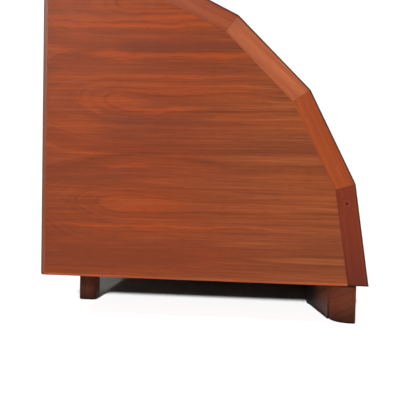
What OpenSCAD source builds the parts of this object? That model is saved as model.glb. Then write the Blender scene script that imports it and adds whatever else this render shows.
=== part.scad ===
// Photo album stand: an open case for albums that stand on edge. Each side panel is a faceted quarter
// round, so the front slopes back towards the top. +X is the front, +Y is the right-hand side as seen
// from the front, +Z is up. The origin is on the floor, under the middle of the case. Millimetres.

/* [Case] */
// Radius of the facet corners about the lower back corner of the case
quarter_r = 400; // [340:5:440]
// Overall width, across both side panels
case_w = 420; // [320:5:560]
// Flat facets in the quarter turn of a side panel
facets = 5; // [4:1:6]
// Thickness of a side panel
side_t = 20; // [18:1:24]
// Thickness of the veneer on each face of a side panel
veneer_t = 1; // [0.6:0.1:1.5]

/* [Solid wood edges] */
// Width of the mitred strip along each facet
strip_w = 25; // [22:1:32]
// Thickness of the lipping on the back edge of a side panel
back_lipping_t = 5.5; // [3:0.5:7]
// Thickness of the lipping on the bottom edge of a side panel
bottom_lipping_t = 3; // [2:0.5:5]

/* [Boards] */
// Thickness of the bottom board
bottom_t = 18; // [15:1:22]
// Thickness of the top board
top_t = 15; // [12:1:18]
// Thickness of the front rail
rail_t = 18; // [15:1:20]
// Height of the front rail above the bottom of the case
rail_h = 60; // [40:5:90]
// Thickness of the back board
back_t = 8; // [7:1:10]
// Width of the rebate that takes the back board in each side panel
rebate_w = 9; // [8:1:10]

/* [Dividers] */
// Number of dividers between the two side panels
dividers = 3; // [1:1:4]
// Thickness of a divider
divider_t = 8; // [6:1:12]
// Thickness of the lipping on the open facets of a divider
divider_lipping_t = 4; // [2:0.5:6]
// Depth of the grooves that hold a divider in the bottom and back boards
groove_d = 3; // [2:0.5:4]

/* [Feet] */
// Height of the feet
foot_h = 46; // [36:1:60]
// Thickness of the front runner from front to back
runner_t = 30; // [28:1:34]
// Distance from the front corner of the case back to the runner
runner_inset = 14; // [10:1:16]
// Distance from the outer face of the case to each end of the runner
runner_end_inset = 2; // [2:1:10]
// Radius of the runner's upright front corners
runner_front_r = 4; // [2:1:10]
// Radius of the runner's upright back corners
runner_back_r = 25; // [10:1:26]
// Size of a rear foot along the depth of the case
rear_foot_l = 24; // [22:1:34]
// Size of a rear foot along the width of the case
rear_foot_w = 24; // [22:1:40]
// Radius of a rear foot's upright edges
rear_foot_r = 5; // [2:1:8]
// Distance from the back corner of the quarter round to a rear foot
rear_foot_x = 22; // [15:1:60]
// Distance from the outer face of the case to a rear foot
rear_foot_inset = 76; // [30:1:90]
// Thickness of a glue block behind the runner, at its thick end
glue_block_t = 19; // [12:1:24]
// Length of a glue block along the runner
glue_block_l = 89; // [60:1:110]

/* [Joints and screws] */
// Radius of the dowels in the bottom board and the front rail
dowel_r = 4; // [3:0.5:4]
// Radius of the dowels in the top board
top_dowel_r = 3; // [2.5:0.5:3.5]
// Depth of a dowel in the side panel
dowel_side_d = 14; // [10:1:15]
// Depth of a dowel in the board
dowel_board_d = 16; // [12:1:20]
// Thickness of the loose tongue between a strip and the core
tongue_t = 4; // [3:0.5:5]
// Depth of the tongue in the strip, and in the core
tongue_d = 7; // [4:1:8]
// Shank radius of a back board screw
back_screw_r = 1.75; // [1.5:0.25:2]
// Length of a back board screw
back_screw_l = 20; // [16:1:24]
// Shank radius of a runner screw
runner_screw_r = 2.25; // [2:0.25:2.5]

/* [Hidden] */
LEFT = -1;
RIGHT = 1;

$fn = 48;
fit_over = 1;
step = 90 / facets;
apothem = quarter_r * cos(step / 2);
centre_x = (back_lipping_t - quarter_r) / 2;
inner_w = case_w - 2 * side_t;
half_w = case_w / 2;
back_front_x = back_t - back_lipping_t;
rail_rear = apothem - rail_t;
divider_line = rail_rear - divider_lipping_t;
bay_w = (inner_w - dividers * divider_t) / (dividers + 1);
runner_front_x = quarter_r - runner_inset;
runner_rear_x = runner_front_x - runner_t;
rear_foot_y = half_w - rear_foot_inset - rear_foot_w / 2;
tenon_r = rear_foot_l / 3;
tenon_h = bottom_t * 2 / 3;
dowel_l = dowel_side_d + dowel_board_d;
bottom_dowels = 4;
top_dowels = 2;
rail_dowels = 2;
tongue_end_gap = 20;
side_screws = 5;
side_screw_low_z = 32;
side_screw_high_z = 0.875 * quarter_r;
screw_head_ratio = 2;
slot_w = 0.9;
slot_d = 1.2;
runner_screws_n = 4;
counterbore_r = 5;
counterbore_d = 24;
pan_head_r = 4.25;
pan_head_h = 3;
runner_screw_l = foot_h - counterbore_d + bottom_t - 4;
runner_screw_spread = 0.72 * half_w;
glue_block_end_gap = 24;
glue_block_thin_t = 1.5;
glue_block_hollow = 3;
glue_block_hollow_r = 330;

walnut = [0.55, 0.26, 0.17];
walnut_veneer = [0.60, 0.30, 0.20];
walnut_dark = [0.42, 0.20, 0.13];
plywood = [0.72, 0.56, 0.38];
beech = [0.80, 0.65, 0.45];
brass = [0.78, 0.62, 0.30];
steel = [0.62, 0.62, 0.62];

// A line in the upright plane of a panel is [angle of its normal, distance from the quarter's centre].
function facet_angle(i) = (i - 0.5) * step;
function facet(i, inset = 0) = [facet_angle(i), apothem - inset];
function mitre(i) = [i * step + 90, 0];
function level(h) = [90, h];
function plumb(x) = [0, x];
function meet(p, q) = let(s = sin(q[0] - p[0])) [
    (p[1] * sin(q[0]) - q[1] * sin(p[0])) / s,
    (q[1] * cos(p[0]) - p[1] * cos(q[0])) / s
];
function corners(lines) = [for (i = [0:len(lines) - 1]) meet(lines[i], lines[(i + 1) % len(lines)])];

// Evenly spaced value number k of n between two ends, both included.
function spaced(k, n, low, high) = low + (high - low) * (k - 1) / (n - 1);

function divider_y(k) = -inner_w / 2 + k * bay_w + (k - 0.5) * divider_t;
function bay_y(k) = -inner_w / 2 + (k - 0.5) * bay_w + (k - 1) * divider_t;

// Stands a flat shape up in the plane of a panel, from y to y + t.
module upright(y, t) {
    translate([centre_x, y + t, foot_h])
        rotate([90, 0, 0])
            linear_extrude(t)
                children();
}

// The same, for one layer of a side panel, measured inwards from the panel's outer face.
module layer(side, depth, t) {
    upright(side == LEFT ? -half_w + depth : half_w - depth - t, t)
        children();
}

// A block given by two opposite corners, in the quarter's own upright axes.
module block(low, high) {
    translate([centre_x + low[0], low[1], foot_h + low[2]])
        cube(high - low);
}

module back_rebate() {
    y = half_w - side_t + rebate_w;
    block([-back_lipping_t - fit_over, -y, -fit_over], [back_front_x, y, quarter_r + fit_over]);
}

// Round dowels that cross the inner face of a side panel at the given points of its plane.
module cross_dowels(points, r) {
    for (side = [LEFT, RIGHT], p = points)
        translate([centre_x + p[0], side * (inner_w / 2 - dowel_board_d), foot_h + p[1]])
            rotate([-90 * side, 0, 0])
                cylinder(h = dowel_l, r = r);
}

module bottom_dowel_shapes() {
    front = rail_rear - 2 * strip_w;
    places = [for (k = [1:bottom_dowels]) [spaced(k, bottom_dowels, strip_w, front), bottom_t / 2]];
    cross_dowels(places, dowel_r);
}

module top_dowel_shapes() {
    line = facet(facets, top_t / 2);
    x_high = meet(line, mitre(facets - 1))[0] - strip_w;
    places = [for (k = [1:top_dowels]) meet(line, plumb(spaced(k, top_dowels, strip_w, x_high)))];
    cross_dowels(places, top_dowel_r);
}

module rail_dowel_shapes() {
    line = facet(1, rail_t / 2);
    places = [for (k = [1:rail_dowels]) meet(line, level(rail_h * (k - 0.5) / rail_dowels))];
    cross_dowels(places, dowel_r);
}

module tongue_shapes(side) {
    line = apothem - strip_w;
    length = 2 * line * tan(step / 2) - 2 * tongue_end_gap;
    layer(side, (side_t - tongue_t) / 2, tongue_t)
        for (i = [1:facets])
            rotate(facet_angle(i))
                translate([line - tongue_d, -length / 2])
                    square([2 * tongue_d, length]);
}

// A countersunk screw that goes in from the back, at a point of the back board.
module back_screw_shape(y, z, slotted) {
    head_r = screw_head_ratio * back_screw_r;
    translate([centre_x - back_lipping_t, y, foot_h + z])
        rotate([0, 90, 0])
            difference() {
                union() {
                    cylinder(h = back_screw_r, r1 = head_r, r2 = back_screw_r);
                    cylinder(h = back_screw_l, r = back_screw_r);
                }
                if (slotted)
                    translate([-head_r, -slot_w / 2, -fit_over])
                        cube([2 * head_r, slot_w, fit_over + slot_d]);
            }
}

module back_screw_shapes(slotted = false) {
    for (side = [LEFT, RIGHT], k = [1:side_screws])
        back_screw_shape(
            side * (inner_w + rebate_w) / 2,
            spaced(k, side_screws, side_screw_low_z, side_screw_high_z),
            slotted
        );
    for (k = [1:dividers + 1], z = [bottom_t / 2, meet(facet(facets, top_t / 2), plumb(back_front_x))[1]])
        back_screw_shape(bay_y(k), z, slotted);
}

module at_runner_screws() {
    for (k = [1:runner_screws_n])
        translate([
            centre_x + (runner_rear_x + rail_rear) / 2,
            spaced(k, runner_screws_n, -runner_screw_spread, runner_screw_spread),
            0
        ])
            children();
}

module runner_shank() {
    translate([0, 0, counterbore_d])
        cylinder(h = runner_screw_l, r = runner_screw_r);
}

module rear_foot_tenon(side, over = 0) {
    translate([centre_x + rear_foot_x + rear_foot_l / 2, side * rear_foot_y, foot_h - over])
        cylinder(h = tenon_h + over, r = tenon_r);
}

module rounded_plan(size, r) {
    x = size[0] / 2 - r;
    y = size[1] / 2 - r;
    union() {
        square([size[0], 2 * y], center = true);
        square([2 * x, size[1]], center = true);
        for (sx = [-x, x], sy = [-y, y])
            translate([sx, sy])
                circle(r);
    }
}

module field(side, depth, t) {
    layer(side, depth, t)
        polygon(corners(concat(
            [level(bottom_lipping_t)],
            [for (i = [1:facets]) facet(i, strip_w)],
            [plumb(0)]
        )));
}

module side_core(side) {
    color(plywood)
        difference() {
            field(side, veneer_t, side_t - 2 * veneer_t);
            back_rebate();
            tongue_shapes(side);
            bottom_dowel_shapes();
            back_screw_shapes();
        }
}

module outer_veneer(side) {
    color(walnut_veneer)
        field(side, 0, veneer_t);
}

module inner_veneer(side) {
    color(walnut_veneer)
        difference() {
            field(side, side_t - veneer_t, veneer_t);
            back_rebate();
            bottom_dowel_shapes();
        }
}

module facet_strip(side, i) {
    color(walnut)
        difference() {
            layer(side, 0, side_t)
                polygon(corners([facet(i), mitre(i), facet(i, strip_w), mitre(i - 1)]));
            tongue_shapes(side);
            if (i == 1)
                rail_dowel_shapes();
            if (i == facets) {
                top_dowel_shapes();
                back_rebate();
            }
        }
}

module back_lipping(side) {
    color(walnut)
        layer(side, 0, side_t - rebate_w)
            translate([-back_lipping_t, 0])
                square([back_lipping_t, quarter_r]);
}

module bottom_lipping(side) {
    color(walnut)
        difference() {
            layer(side, 0, side_t)
                polygon(corners([level(0), facet(1, strip_w), level(bottom_lipping_t), plumb(0)]));
            back_rebate();
        }
}

module tongues(side) {
    color(plywood)
        tongue_shapes(side);
}

module bottom_board() {
    color(walnut_veneer)
        difference() {
            upright(-inner_w / 2, inner_w)
                polygon(corners([level(0), facet(1, rail_t), level(bottom_t), plumb(back_front_x)]));
            for (k = [1:dividers])
                divider_blank(k);
            bottom_dowel_shapes();
            back_screw_shapes();
            at_runner_screws()
                runner_shank();
            for (side = [LEFT, RIGHT])
                rear_foot_tenon(side, fit_over);
        }
}

module top_board() {
    color(walnut_veneer)
        difference() {
            upright(-inner_w / 2, inner_w)
                polygon(corners([
                    facet(facets),
                    plumb(back_front_x),
                    facet(facets, top_t),
                    mitre(facets - 1)
                ]));
            top_dowel_shapes();
            back_screw_shapes();
        }
}

module front_rail() {
    color(walnut)
        difference() {
            upright(-inner_w / 2, inner_w)
                polygon(corners([level(0), facet(1), level(rail_h), facet(1, rail_t)]));
            rail_dowel_shapes();
        }
}

module back_board() {
    y = half_w - side_t + rebate_w;
    color(walnut_veneer)
        difference() {
            block([-back_lipping_t, -y, 0], [back_front_x, y, quarter_r]);
            for (k = [1:dividers])
                divider_blank(k);
            back_screw_shapes();
        }
}

module divider_blank(k) {
    upright(divider_y(k) - divider_t / 2, divider_t)
        polygon(corners(concat(
            [level(bottom_t - groove_d)],
            [for (i = [1:facets - 1]) [facet_angle(i), divider_line]],
            [facet(facets, top_t), plumb(back_front_x - groove_d)]
        )));
}

module divider(k) {
    color(walnut_veneer)
        divider_blank(k);
}

// The lipping of each open facet is its own strip, mitred to the next one.
module divider_lipping(k) {
    color(walnut)
        upright(divider_y(k) - divider_t / 2, divider_t)
            for (i = [1:facets - 1])
                polygon(corners([
                    [facet_angle(i), rail_rear],
                    i == facets - 1 ? facet(facets, top_t) : mitre(i),
                    [facet_angle(i), divider_line],
                    i == 1 ? level(bottom_t) : mitre(i - 1)
                ]));
}

module front_runner() {
    length = case_w - 2 * runner_end_inset;
    color(walnut_dark)
        difference() {
            translate([centre_x + runner_rear_x, 0, 0])
                linear_extrude(foot_h)
                    runner_plan(length);
            at_runner_screws() {
                translate([0, 0, -fit_over])
                    cylinder(h = counterbore_d + fit_over, r = counterbore_r);
                runner_shank();
            }
        }
}

// The runner seen from above: small rounds at the front corners and wide ones at the back corners.
module runner_plan(length) {
    union() {
        translate([runner_back_r, -length / 2])
            square([runner_t - runner_back_r - runner_front_r, length]);
        translate([0, runner_back_r - length / 2])
            square([runner_back_r, length - 2 * runner_back_r]);
        translate([runner_t - runner_front_r, runner_front_r - length / 2])
            square([runner_front_r, length - 2 * runner_front_r]);
        for (end = [-1, 1]) {
            translate([runner_back_r, end * (length / 2 - runner_back_r)])
                intersection() {
                    circle(runner_back_r, $fn = 96);
                    translate([-runner_back_r, -runner_back_r])
                        square([runner_back_r, 2 * runner_back_r]);
                }
            translate([runner_t - runner_front_r, end * (length / 2 - runner_front_r)])
                circle(runner_front_r);
        }
    }
}

// A long wedge against the back of the runner, hollowed a little along its sloping face.
module glue_block(side) {
    thin_y = half_w - glue_block_end_gap;
    thick_y = thin_y - glue_block_l;
    middle_t = (glue_block_t + glue_block_thin_t) / 2;
    fall = atan2(side * (glue_block_t - glue_block_thin_t), glue_block_l);
    color(walnut_dark)
        translate([centre_x + runner_rear_x, 0, 0])
            linear_extrude(foot_h)
                difference() {
                    polygon([
                        [0, side * thin_y],
                        [0, side * thick_y],
                        [-glue_block_t, side * thick_y],
                        [-glue_block_thin_t, side * thin_y]
                    ]);
                    translate([-middle_t, side * (thin_y + thick_y) / 2])
                        rotate(-fall)
                            translate([glue_block_hollow - glue_block_hollow_r, 0])
                                circle(glue_block_hollow_r, $fn = 720);
                }
}

module rear_foot(side) {
    color(walnut_dark)
        union() {
            translate([centre_x + rear_foot_x + rear_foot_l / 2, side * rear_foot_y, 0])
                linear_extrude(foot_h)
                    rounded_plan([rear_foot_l, rear_foot_w], rear_foot_r);
            rear_foot_tenon(side);
        }
}

module bottom_board_dowels() {
    color(beech)
        bottom_dowel_shapes();
}

module top_board_dowels() {
    color(beech)
        top_dowel_shapes();
}

module front_rail_dowels() {
    color(beech)
        rail_dowel_shapes();
}

module back_board_screws() {
    color(brass)
        back_screw_shapes(slotted = true);
}

module runner_screws() {
    color(steel)
        at_runner_screws() {
            runner_shank();
            translate([0, 0, counterbore_d - pan_head_h])
                difference() {
                    cylinder(h = pan_head_h, r = pan_head_r);
                    translate([-pan_head_r, -slot_w / 2, -fit_over])
                        cube([2 * pan_head_r, slot_w, fit_over + slot_d]);
                }
        }
}

module side_nodes(name, side) {
    side_core(side);
    outer_veneer(side);
    inner_veneer(side);
    for (i = [1:facets])
        facet_strip(side, i);
    back_lipping(side);
    bottom_lipping(side);
    tongues(side);
    glue_block(side);
    rear_foot(side);
}

side_nodes("left", LEFT);
side_nodes("right", RIGHT);
bottom_board();
top_board();
front_rail();
back_board();
for (k = [1:dividers]) {
    divider(k);
    divider_lipping(k);
}
front_runner();
bottom_board_dowels();
top_board_dowels();
front_rail_dowels();
back_board_screws();
runner_screws();
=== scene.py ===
import logging
import math
from dataclasses import dataclass, field, replace
from enum import Enum
from typing import Callable, Iterable, Optional, Sequence, Union

import bpy
import numpy as np
from mathutils import Matrix, Vector


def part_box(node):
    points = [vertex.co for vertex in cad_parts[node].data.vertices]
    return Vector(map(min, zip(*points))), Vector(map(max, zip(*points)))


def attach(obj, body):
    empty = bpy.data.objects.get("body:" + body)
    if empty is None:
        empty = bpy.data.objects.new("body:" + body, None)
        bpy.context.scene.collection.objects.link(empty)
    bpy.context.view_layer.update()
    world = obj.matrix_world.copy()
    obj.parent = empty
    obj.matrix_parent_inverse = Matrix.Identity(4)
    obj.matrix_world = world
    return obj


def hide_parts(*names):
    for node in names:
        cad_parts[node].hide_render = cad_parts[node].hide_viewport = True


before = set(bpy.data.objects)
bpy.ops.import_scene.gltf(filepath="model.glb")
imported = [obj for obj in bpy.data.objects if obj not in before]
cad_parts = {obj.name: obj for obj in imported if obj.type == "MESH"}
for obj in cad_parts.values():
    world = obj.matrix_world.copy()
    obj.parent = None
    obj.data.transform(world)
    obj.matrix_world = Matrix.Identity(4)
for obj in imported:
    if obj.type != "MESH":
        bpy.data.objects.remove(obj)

# Lengths are in metres, and the rates of patterns are for each metre.
LOG = logging.getLogger("album_stand")
MM = 0.001
BODY = "root"
ORIGIN = (0.0, 0.0, 0.0)
SIDES = (("left", -1), ("right", 1))

Number = Union[int, float]
Value = Union["Wire", int, float]
Line = tuple[float, float]
Triple = tuple[float, float, float]
Colour = tuple[float, float, float]
Tint = Union["Wire", Colour]
Place = Callable[[np.ndarray, np.ndarray, np.ndarray], np.ndarray]


# --- Shader maths ---


class Wire:
    """A socket that carries a number, with Python's operators adding Math nodes."""

    def __init__(self, paint: "Paint", socket: bpy.types.NodeSocket) -> None:
        """Wraps an output socket of a material."""
        self.paint = paint
        self.socket = socket

    def _math(self, operation: str, *values: Value, clamp: bool = False) -> "Wire":
        """The result of one Math node, kept from 0 to 1 if clamp says so."""
        settings = {"operation": operation, "use_clamp": clamp}
        return self.paint.add("ShaderNodeMath", settings, dict(enumerate(values)))

    def __add__(self, other: Value) -> "Wire":
        """The sum."""
        return self._math("ADD", self, other)

    def __radd__(self, other: Number) -> "Wire":
        """The sum, reflected."""
        return self._math("ADD", other, self)

    def __sub__(self, other: Value) -> "Wire":
        """The difference."""
        return self._math("SUBTRACT", self, other)

    def __rsub__(self, other: Number) -> "Wire":
        """The difference, reflected."""
        return self._math("SUBTRACT", other, self)

    def __mul__(self, other: Value) -> "Wire":
        """The product."""
        return self._math("MULTIPLY", self, other)

    def __rmul__(self, other: Number) -> "Wire":
        """The product, reflected."""
        return self._math("MULTIPLY", other, self)

    def root(self) -> "Wire":
        """The square root."""
        return self._math("SQRT", self)

    def more(self, other: Value) -> "Wire":
        """The larger of two values."""
        return self._math("MAXIMUM", self, other)

    def pingpong(self, reach: float) -> "Wire":
        """Rises from 0 to reach and falls back again, over and over."""
        return self._math("PINGPONG", self, reach)

    def clipped(self) -> "Wire":
        """The value, kept from 0 to 1."""
        return self._math("ADD", self, 0.0, clamp=True)

    def bell(self, width: float) -> "Wire":
        """A bell curve of this distance: 1 at 0, and near 0 beyond twice the width."""
        ratio = self * (1 / width)
        return self._math("EXPONENT", ratio * ratio * -1.0)

    def step(self, start: float, end: float) -> "Wire":
        """A smooth step from 0 at start to 1 at end, whichever of the two is larger.

        Args:
            start: Value where the step leaves 0.
            end: Value where it reaches 1.

        Returns:
            The step.
        """
        rising = start < end
        inputs = {"Value": self, "From Min": min(start, end), "From Max": max(start, end)}
        inputs.update({"To Min": float(not rising), "To Max": float(rising)})
        return self.paint.add("ShaderNodeMapRange", {"interpolation_type": "SMOOTHSTEP"}, inputs)


class Paint:
    """One material under construction, with a Principled shader."""

    def __init__(self, name: str) -> None:
        """Starts an empty material.

        Args:
            name: The material's name.
        """
        self.material = bpy.data.materials.new(name)
        self.material.use_nodes = True
        self.tree = self.material.node_tree
        self.tree.nodes.clear()
        self.shader = self.tree.nodes.new("ShaderNodeBsdfPrincipled")
        output = self.tree.nodes.new("ShaderNodeOutputMaterial")
        self.tree.links.new(self.shader.outputs["BSDF"], output.inputs["Surface"])

    def add(self, kind: str, settings: dict, inputs: dict, output: "int | str" = 0) -> Wire:
        """Adds any node.

        Args:
            kind: The node's type.
            settings: Its settings, set first. A ramp takes "stops", a list of (place, colour).
            inputs: The values or wires of its sockets, by name or number.
            output: The output socket to return.

        Returns:
            The chosen output.
        """
        node = self.tree.nodes.new(kind)
        for name, value in settings.items():
            if name == "stops":
                self._set_stops(node.color_ramp, value)
            else:
                setattr(node, name, value)
        for key, value in inputs.items():
            self._feed(node.inputs[key], value)
        return Wire(self, node.outputs[output])

    def _feed(self, socket: bpy.types.NodeSocket, value: object) -> None:
        """Links a wire to a socket, or sets the socket's own value.

        Args:
            socket: The input socket.
            value: A wire, a number, a vector or a colour.
        """
        if isinstance(value, Wire):
            self.tree.links.new(value.socket, socket)
        elif isinstance(value, tuple) and len(value) == 3 and socket.type == "RGBA":
            socket.default_value = (*value, 1.0)
        else:
            socket.default_value = value

    @staticmethod
    def _set_stops(ramp: bpy.types.ColorRamp, stops: Sequence[tuple[float, Colour]]) -> None:
        """Gives a colour ramp its stops.

        Args:
            ramp: The ramp.
            stops: A place and a colour for each stop.
        """
        while len(ramp.elements) < len(stops):
            ramp.elements.new(1.0)
        for element, (place, colour) in zip(ramp.elements, stops):
            element.position = place
            element.color = (*colour, 1.0)

    def point(self, turn: Triple = ORIGIN, shift: Triple = ORIGIN) -> Wire:
        """The place on the piece, in metres, turned (in radians about X, Y and Z) and then shifted."""
        place = self.add("ShaderNodeTexCoord", {}, {}, "Object")
        return self.add("ShaderNodeMapping", {}, {"Vector": place, "Rotation": turn, "Location": shift})

    def parts(self, vector: Wire) -> tuple[Wire, Wire, Wire]:
        """The three numbers of a vector."""
        first = self.add("ShaderNodeSeparateXYZ", {}, {0: vector})
        return tuple(Wire(self, output) for output in first.socket.node.outputs)

    def noise(self, place: Wire, scale: Triple, detail: float = 2.0, rough: float = 0.5) -> Wire:
        """Soft noise from 0 to 1 in space, with its own rate along each axis."""
        place = self.add("ShaderNodeVectorMath", {"operation": "MULTIPLY"}, {0: place, 1: scale})
        inputs = {"Vector": place, "Scale": 1.0, "Detail": detail, "Roughness": rough}
        return self.add("ShaderNodeTexNoise", {"noise_dimensions": "3D"}, inputs)

    def noise_along(self, value: Wire, scale: float, detail: float = 2.0, rough: float = 0.5) -> Wire:
        """Soft noise from 0 to 1 along one number."""
        inputs = {"W": value, "Scale": scale, "Detail": detail, "Roughness": rough}
        return self.add("ShaderNodeTexNoise", {"noise_dimensions": "1D"}, inputs)

    def ramp(self, factor: Wire, stops: Sequence[tuple[float, Colour]]) -> Wire:
        """A colour that follows a number."""
        return self.add("ShaderNodeValToRGB", {"stops": stops}, {"Fac": factor}, "Color")

    def mix(self, factor: Value, below: Tint, above: Tint, blend: str = "MIX") -> Wire:
        """Lays one colour over another, as far as the factor says."""
        settings = {"data_type": "RGBA", "blend_type": blend}
        return self.add("ShaderNodeMix", settings, {"Factor": factor, 6: below, 7: above}, 2)

    def arris(self) -> Wire:
        """How far round an eased edge a point lies: 0 on flat faces, and 1 at the outline."""
        return self.add("ShaderNodeAttribute", {"attribute_name": "arris"}, {}, "Fac")

    def bump(self, height: Wire, strength: float, distance: float) -> Wire:
        """A bumped normal from a height."""
        inputs = {"Height": height, "Strength": strength, "Distance": distance}
        return self.add("ShaderNodeBump", {}, inputs, "Normal")

    def finish(self, **sockets: object) -> bpy.types.Material:
        """Sets the shader's sockets, with underscores for spaces in their names.

        Args:
            sockets: A value or wire for each socket.

        Returns:
            The finished material.
        """
        for name, value in sockets.items():
            self._feed(self.shader.inputs[name.replace("_", " ")], value)
        return self.material


def linear(red: int, green: int, blue: int) -> Colour:
    """A display colour, 0 to 255 a channel, as the linear colour that Blender works in."""
    def channel(value: float) -> float:
        """One channel, by the standard display curve: a short straight foot and then a power."""
        value /= 255
        return value / 12.92 if value <= 0.04045 else ((value + 0.055) / 1.055) ** 2.4

    return (channel(red), channel(green), channel(blue))


def scaled(colour: Colour, gain: float) -> Colour:
    """A colour made brighter or darker."""
    return tuple(min(1.0, channel * gain) for channel in colour)


# --- Finishes ---


class Run(Enum):
    """The way the grain runs."""

    DEPTH = "depth"
    WIDTH = "width"
    HEIGHT = "height"
    SLOPE = "slope"


class Figure(Enum):
    """How the growth rings show on a face."""

    STRAIGHT = "straight"
    CATHEDRAL = "cathedral"


@dataclass(frozen=True)
class Streak:
    """A band of other colour that follows the grain."""

    height: float  # height of its middle across the grain
    spread: float  # half of its width
    start: float  # where it starts along the grain
    end: float  # where it ends along the grain
    warmth: float  # how far it leans to the warm colour, or to the dull colour when negative

    def band(self, cut: "Cut", lines: Wire) -> Wire:
        """The streak's strength: a bell across the grain, soft at both ends, and stronger on ring lines.

        Args:
            cut: The piece's place in the tree.
            lines: Its ring lines.

        Returns:
            The strength, 0 away from the streak.
        """
        across = cut.across + cut.ripple * STREAK_RIPPLE - self.height
        band = across.bell(self.spread) * (lines * STREAK_LINES + STREAK_BASE)
        band = band * cut.along.step(*(self.start + way for way in STREAK_START))
        band = band * cut.along.step(*(self.end + way for way in STREAK_END))
        return band * (abs(self.warmth) * STREAK_MIX)


@dataclass(frozen=True)
class Grain:
    """Where a piece of wood was cut from: its grain's direction and its place in the tree."""

    run: Run  # the way the grain runs
    slope: float = 0.0  # for a sloping run, its angle above the level in the plane of the side, in radians
    shift: Triple = ORIGIN  # offset in the tree, so that no two pieces look alike
    figure: Figure = Figure.STRAIGHT  # how the rings show
    eye: float = 0.0  # height of the middle of one cathedral
    eye_gap: float = 0.124  # distance between one cathedral's middle and the next
    taper: float = 0.40  # how fast the cathedral's rings close across for each metre along
    mouth: float = 0.0  # place along the grain beyond which the rings run straight
    streaks: tuple[Streak, ...] = ()  # bands of other colour
    # places along the grain where a change of tone starts and where it is full, or None; on the glue blocks
    # it is painted shade
    turned: Optional[tuple[float, float]] = None

    def turn(self) -> Triple:
        """Rotation that brings the grain's run onto the pattern's X axis, in radians."""
        quarter = math.pi / 2
        turns = {
            Run.DEPTH: ORIGIN,
            Run.WIDTH: (0.0, 0.0, -quarter),
            Run.HEIGHT: (0.0, quarter, 0.0),
            Run.SLOPE: (0.0, self.slope, 0.0),
        }
        return turns[self.run]


@dataclass(frozen=True)
class Swirl:
    """Soft noise that is drawn out along the grain."""

    along: float  # its rate along the grain
    across: float  # its rate across the grain
    detail: float = 2.0  # how many finer layers it has
    rough: float = 0.5  # how strong they are

    def on(self, cut: "Cut") -> Wire:
        """The noise on a piece, from 0 to 1."""
        return cut.paint.noise(cut.point, (self.along, self.across, self.across), self.detail, self.rough)


@dataclass(frozen=True)
class Weights:
    """How much each part of the figure counts in the wood's tone, relief or roughness."""

    middle: float = 0.0
    broad: float = 0.0
    lines: float = 0.0
    etched: float = 0.0
    hairs: float = 0.0
    fibre: float = 0.0
    pores: float = 0.0
    edge: float = 0.0


TONE = Weights(middle=0.53, broad=0.9, lines=1.5, etched=0.42, hairs=1.1)
RELIEF = Weights(fibre=0.35, lines=0.25)
SHEEN = Weights(hairs=0.18, pores=0.12, fibre=0.10, edge=0.30)
WANDER = Swirl(3.0, 8.0)
RIPPLE = Swirl(16.0, 70.0)
HAIRS = Swirl(9.0, 420.0, 4.0, 0.65)
FIBRE = Swirl(28.0, 1500.0, 2.0, 0.6)
PORES = Swirl(60.0, 1900.0, 1.0)
PATCHES = Swirl(6.0, 30.0)
DRIFT = Swirl(4.0, 24.0, 3.0, 0.6)
NOISE_MIDDLE = 0.5
RING_WANDER = 0.030              # metres that the rings stray slowly
RING_RIPPLE = 0.0032             # metres that they stray quickly
STREAK_RIPPLE = 0.016            # metres that a streak strays
STREAK_LINES, STREAK_BASE = 1.6, 0.1  # strength of a streak on ring lines and between them
STREAK_START = (-0.03, 0.02)     # metres from a streak's start where it appears and where it is full
STREAK_END = (0.04, -0.02)       # the same from its end, where it has gone and where it is still full
STREAK_MIX = 0.85                # strength of the strongest streak
STRAIGHT_LEAN = 0.45             # how far the rings of straight grain lean into the wood
CATHEDRAL_LEAN = 0.3             # how far those of a cathedral do
CATHEDRAL_DRIFT = 0.015          # how far they open for each metre along
EYE_WANDER, MOUTH_WANDER = 0.02, 0.12  # metres that a cathedral's eye and mouth stray
CALM_RANGE = (-0.02, -0.09)      # metres from the mouth where ring lines start to grow faint and stop
CALM = 0.7                       # how faint they grow
TURN_WANDER = 0.15               # metres that a change of tone, and the glue blocks' painted shade, strays
BROAD_RATE = 0.25                # rate of the broad rings next to the ring lines
LINE_NOISE = (4.0, 0.72)         # detail and roughness of the ring lines
TONE_STOPS = (0.10, 0.50, 0.92)  # tones of the dark, middle and light colours
PORE_RANGE = (0.58, 0.70)        # noise where a pore starts and where it is full
PATCH_RANGE = (0.30, 0.62)       # the same for patches with etched lines
ETCH_RANGE = (0.52, 0.66)        # the same for the etched lines
WARM_RANGE = (0.50, 0.74)        # the same for warm patches
DULL_RANGE = (0.50, 0.28)        # the same for dull patches
WARM_MIX, DULL_MIX = 0.35, 0.40  # strengths of the warm and the dull patches
PORE_MIX, PORE_SHADE = 0.6, 0.4  # strength of the pores, and their brightness next to the dark colour
DOWNWARD_DARK_TONE = 0.12               # brightness where a piece is darkest towards the bottom, next to the dark colour


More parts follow.
